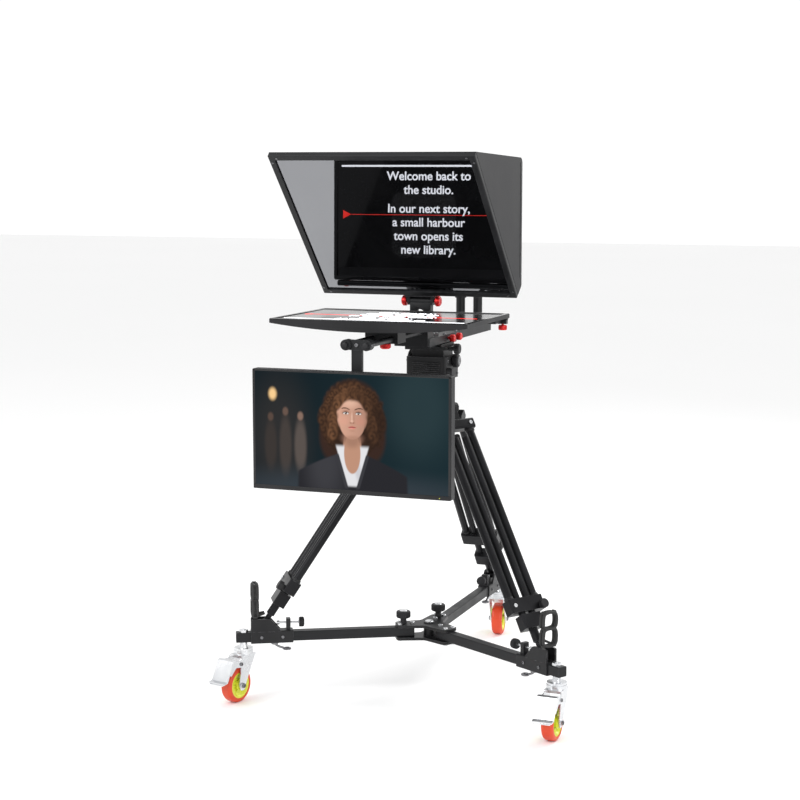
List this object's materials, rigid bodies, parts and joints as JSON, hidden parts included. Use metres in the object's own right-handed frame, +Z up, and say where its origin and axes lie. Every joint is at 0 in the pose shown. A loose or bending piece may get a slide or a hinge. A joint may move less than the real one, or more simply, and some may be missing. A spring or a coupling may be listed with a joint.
{
  "type": "teleprompter",
  "caption": "Studio camera prompter on a rolling tripod dolly: hooded slanted glass over a face-up monitor, with a presenter-facing monitor hung in front",
  "frame": {"origin": "on the floor under the centre of the dolly's hub", "axes": "+Z up, the prompter faces -Y, +X to the right as seen from the front"},
  "size_m": [1.0122, 1.3777, 1.5431],
  "materials": {
    "black_metal": "satin powder coat",
    "black_cast": "satin paint on a casting",
    "bright_zinc": "zinc plate",
    "silver": "machined and bead blasted",
    "orange_tyre": "satin polyurethane",
    "yellow_rim": "moulded",
    "black_plastic": "fine texture",
    "red_knob": "red anodised",
    "grey_housing": "grey hammer paint",
    "hood_grey": "matte sheet",
    "splitter_glass": "half-silvered coating",
    "display": "glossy screen film"
  },
  "bodies": {
    "dolly": {"hub": "black_cast", "arm_left": "black_metal", "arm_right": "black_metal", "arm_rear": "black_metal", "foot_brackets": "black_cast", "caster_stems": "bright_zinc"},
    "crown": {"crown": "black_cast", "bowl": "silver", "levelling_ball": "silver"},
    "caster_left": {"caster_fork_left": "bright_zinc"},
    "wheel_left": {"caster_rim_left": "yellow_rim", "caster_tyre_left": "orange_tyre"},
    "pedal_left": {"caster_pedal_left": "black_metal"},
    "clamp_screw_left": {"clamp_screw_left": "bright_zinc"},
    "upper_leg_left": {"upper_leg_left": "black_metal"},
    "lower_leg_left": {"lower_leg_left": "black_metal"},
    "leg_knob_left": {"leg_knob_left": "black_plastic"},
    "caster_right": {"caster_fork_right": "bright_zinc"},
    "wheel_right": {"caster_rim_right": "yellow_rim", "caster_tyre_right": "orange_tyre"},
    "pedal_right": {"caster_pedal_right": "black_metal"},
    "clamp_screw_right": {"clamp_screw_right": "bright_zinc"},
    "upper_leg_right": {"upper_leg_right": "black_metal"},
    "lower_leg_right": {"lower_leg_right": "black_metal"},
    "leg_knob_right": {"leg_knob_right": "black_plastic"},
    "caster_rear": {"caster_fork_rear": "bright_zinc"},
    "wheel_rear": {"caster_rim_rear": "yellow_rim", "caster_tyre_rear": "orange_tyre"},
    "pedal_rear": {"caster_pedal_rear": "black_metal"},
    "clamp_screw_rear": {"clamp_screw_rear": "bright_zinc"},
    "upper_leg_rear": {"upper_leg_rear": "black_metal"},
    "lower_leg_rear": {"lower_leg_rear": "black_metal"},
    "leg_knob_rear": {"leg_knob_rear": "black_plastic"},
    "hub_knob_left": {"hub_knob_left": "black_plastic"},
    "hub_knob_rear": {"hub_knob_rear": "black_plastic"},
    "head": {"head_base": "black_cast"},
    "cradle": {"head_cradle": "grey_housing"},
    "tilt_dial": {"tilt_dial": "black_plastic"},
    "tilt_lever": {"tilt_lever": "black_plastic"},
    "plate_knob": {"plate_knob": "black_plastic"},
    "rig": {"slide_plate": "black_metal", "base_plate": "black_metal", "support_rods": "black_metal", "side_knobs": "red_knob", "camera_stand": "black_metal", "hood_post": "black_metal"},
    "tray": {"monitor_tray": "black_metal", "tray_knobs": "red_knob", "prompter_housing": "black_plastic", "prompter_screen": "display"},
    "rod_knob": {"rod_knob": "red_knob"},
    "hood": {"hood_hinge": "black_metal", "glass_frame": "black_metal", "beam_splitter": "splitter_glass", "hood_shell": "hood_grey"},
    "hinge_knobs": {"hinge_knobs": "red_knob"},
    "hanger": {"hanger": "black_metal"},
    "talent_monitor": {"tilt_plate": "black_metal", "monitor_housing": "black_plastic", "monitor_screen": "display"}
  },
  "joints": [
    {"name": "tripod_height", "type": "slide", "parent": "dolly", "child": "crown", "axis": [0, 0, 1], "range_m": [0, 0.12]},
    {"name": "caster_swivel_left", "type": "hinge", "parent": "dolly", "child": "caster_left", "pos_m": [-0.47015, -0.2574, 0.1437], "axis": [0, 0, 1], "continuous": true},
    {"name": "wheel_turn_left", "type": "hinge", "parent": "caster_left", "child": "wheel_left", "pos_m": [-0.47856, -0.29137, 0.05], "axis": [0.9707, -0.2402, 0], "continuous": true},
    {"name": "brake_pedal_left", "type": "hinge", "parent": "caster_left", "child": "pedal_left", "pos_m": [-0.48072, -0.30011, 0.114], "axis": [0.9707, -0.2402, 0], "range_deg": [0, 10]},
    {"name": "clamp_screw_turn_left", "type": "hinge", "parent": "dolly", "child": "clamp_screw_left", "pos_m": [-0.34647, -0.18969, 0.218], "axis": [-0.8771, -0.4802, 0], "range_deg": [-180, 180]},
    {"name": "leg_swing_left", "type": "hinge", "parent": "crown", "child": "upper_leg_left", "pos_m": [-0.0653, -0.01888, 0.832], "axis": [0.5116, -0.8592, 0], "range_deg": [0, 4.6]},
    {"name": "leg_slide_left", "type": "slide", "parent": "upper_leg_left", "child": "lower_leg_left", "axis": [-0.4771, -0.2841, -0.8317], "range_m": [0, 0.10295]},
    {"name": "leg_knob_turn_left", "type": "hinge", "parent": "upper_leg_left", "child": "leg_knob_left", "pos_m": [-0.35104, -0.23789, 0.32885], "axis": [-0.7146, -0.4255, 0.5553], "range_deg": [-180, 180]},
    {"name": "caster_swivel_right", "type": "hinge", "parent": "dolly", "child": "caster_right", "pos_m": [0.45799, -0.27846, 0.1437], "axis": [0, 0, 1], "continuous": true},
    {"name": "wheel_turn_right", "type": "hinge", "parent": "caster_right", "child": "wheel_right", "pos_m": [0.45616, -0.31341, 0.05], "axis": [0.9986, -0.0523, 0], "continuous": true},
    {"name": "brake_pedal_right", "type": "hinge", "parent": "caster_right", "child": "pedal_right", "pos_m": [0.45569, -0.3224, 0.114], "axis": [0.9986, -0.0523, 0], "range_deg": [0, 10]},
    {"name": "clamp_screw_turn_right", "type": "hinge", "parent": "dolly", "child": "clamp_screw_right", "pos_m": [0.33751, -0.20521, 0.218], "axis": [0.8545, -0.5195, 0], "range_deg": [-180, 180]},
    {"name": "leg_swing_right", "type": "hinge", "parent": "crown", "child": "upper_leg_right", "pos_m": [0.06351, -0.02174, 0.832], "axis": [0.5492, 0.8357, 0], "range_deg": [0, 4.6]},
    {"name": "leg_slide_right", "type": "slide", "parent": "upper_leg_right", "child": "lower_leg_right", "axis": [0.4646, -0.3053, -0.8312], "range_m": [0, 0.10289]},
    {"name": "leg_knob_turn_right", "type": "hinge", "parent": "upper_leg_right", "child": "leg_knob_right", "pos_m": [0.38575, -0.18325, 0.32916], "axis": [0.6946, -0.4565, 0.556], "range_deg": [-180, 180]},
    {"name": "caster_swivel_rear", "type": "hinge", "parent": "dolly", "child": "caster_rear", "pos_m": [0, 0.651, 0.1437], "axis": [0, 0, 1], "continuous": true},
    {"name": "wheel_turn_rear", "type": "hinge", "parent": "caster_rear", "child": "wheel_rear", "pos_m": [-0.00487, 0.68566, 0.05], "axis": [-0.9903, -0.1392, 0], "continuous": true},
    {"name": "brake_pedal_rear", "type": "hinge", "parent": "caster_rear", "child": "pedal_rear", "pos_m": [-0.00612, 0.69457, 0.114], "axis": [-0.9903, -0.1392, 0], "range_deg": [0, 10]},
    {"name": "clamp_screw_turn_rear", "type": "hinge", "parent": "dolly", "child": "clamp_screw_rear", "pos_m": [0, 0.51, 0.218], "axis": [0, 1, 0], "range_deg": [-180, 180]},
    {"name": "leg_swing_rear", "type": "hinge", "parent": "crown", "child": "upper_leg_rear", "pos_m": [0, 0.096, 0.832], "axis": [-1, 0, 0], "range_deg": [0, 4.93]},
    {"name": "leg_slide_rear", "type": "slide", "parent": "upper_leg_rear", "child": "lower_leg_rear", "axis": [0, 0.6276, -0.7785], "range_m": [0, 0.09713]},
    {"name": "leg_knob_turn_rear", "type": "hinge", "parent": "upper_leg_rear", "child": "leg_knob_rear", "pos_m": [-0.042, 0.49726, 0.36296], "axis": [0, 0.7785, 0.6276], "range_deg": [-180, 180]},
    {"name": "hub_knob_turn_left", "type": "hinge", "parent": "dolly", "child": "hub_knob_left", "pos_m": [-0.06666, -0.0365, 0.196], "axis": [0, 0, 1], "range_deg": [-180, 180]},
    {"name": "hub_knob_turn_rear", "type": "hinge", "parent": "dolly", "child": "hub_knob_rear", "pos_m": [0, 0.076, 0.196], "axis": [0, 0, 1], "range_deg": [-180, 180]},
    {"name": "head_pan", "type": "hinge", "parent": "crown", "child": "head", "pos_m": [0, 0.02, 0.858], "axis": [0, 0, 1], "continuous": true},
    {"name": "head_tilt", "type": "hinge", "parent": "head", "child": "cradle", "pos_m": [0, 0.02, 0.962], "axis": [1, 0, 0], "range_deg": [-20, 20]},
    {"name": "tilt_dial_turn", "type": "hinge", "parent": "head", "child": "tilt_dial", "pos_m": [0.07, 0.02, 0.962], "axis": [1, 0, 0], "continuous": true},
    {"name": "tilt_lever_turn", "type": "hinge", "parent": "head", "child": "tilt_lever", "pos_m": [0.066, -0.024, 0.937], "axis": [1, 0, 0], "range_deg": [-25, 25]},
    {"name": "plate_knob_turn", "type": "hinge", "parent": "cradle", "child": "plate_knob", "pos_m": [0.08, -0.02, 0.9998], "axis": [1, 0, 0], "range_deg": [-180, 180]},
    {"name": "plate_slide", "type": "slide", "parent": "cradle", "child": "rig", "axis": [0, 1, 0], "range_m": [-0.03, 0.03]},
    {"name": "tray_slide", "type": "slide", "parent": "rig", "child": "tray", "axis": [0, 1, 0], "range_m": [-0.04, 0.02]},
    {"name": "rod_knob_turn", "type": "hinge", "parent": "tray", "child": "rod_knob", "pos_m": [0, -0.353, 1.037], "axis": [0, 0, 1], "range_deg": [-180, 180]},
    {"name": "hood_tilt", "type": "hinge", "parent": "rig", "child": "hood", "pos_m": [0, -0.072, 1.136], "axis": [1, 0, 0], "range_deg": [-15, 2]},
    {"name": "hinge_knob_turn", "type": "hinge", "parent": "rig", "child": "hinge_knobs", "pos_m": [0, -0.072, 1.136], "axis": [1, 0, 0], "range_deg": [-180, 180]},
    {"name": "hanger_slide", "type": "slide", "parent": "rig", "child": "hanger", "axis": [0, 1, 0], "range_m": [0, 0.08]},
    {"name": "monitor_tilt", "type": "hinge", "parent": "hanger", "child": "talent_monitor", "pos_m": [0, -0.552, 0.856], "axis": [1, 0, 0], "range_deg": [-6, 20]}
  ],
  "couplings": [
    {"joint": "leg_swing_left", "follows": "tripod_height", "rad_per_m": 0.66115},
    {"joint": "leg_slide_left", "follows": "tripod_height", "ratio": 0.85372},
    {"joint": "leg_swing_right", "follows": "tripod_height", "rad_per_m": 0.66171},
    {"joint": "leg_slide_right", "follows": "tripod_height", "ratio": 0.85329},
    {"joint": "leg_swing_rear", "follows": "tripod_height", "rad_per_m": 0.70979},
    {"joint": "leg_slide_rear", "follows": "tripod_height", "ratio": 0.80526}
  ]
}
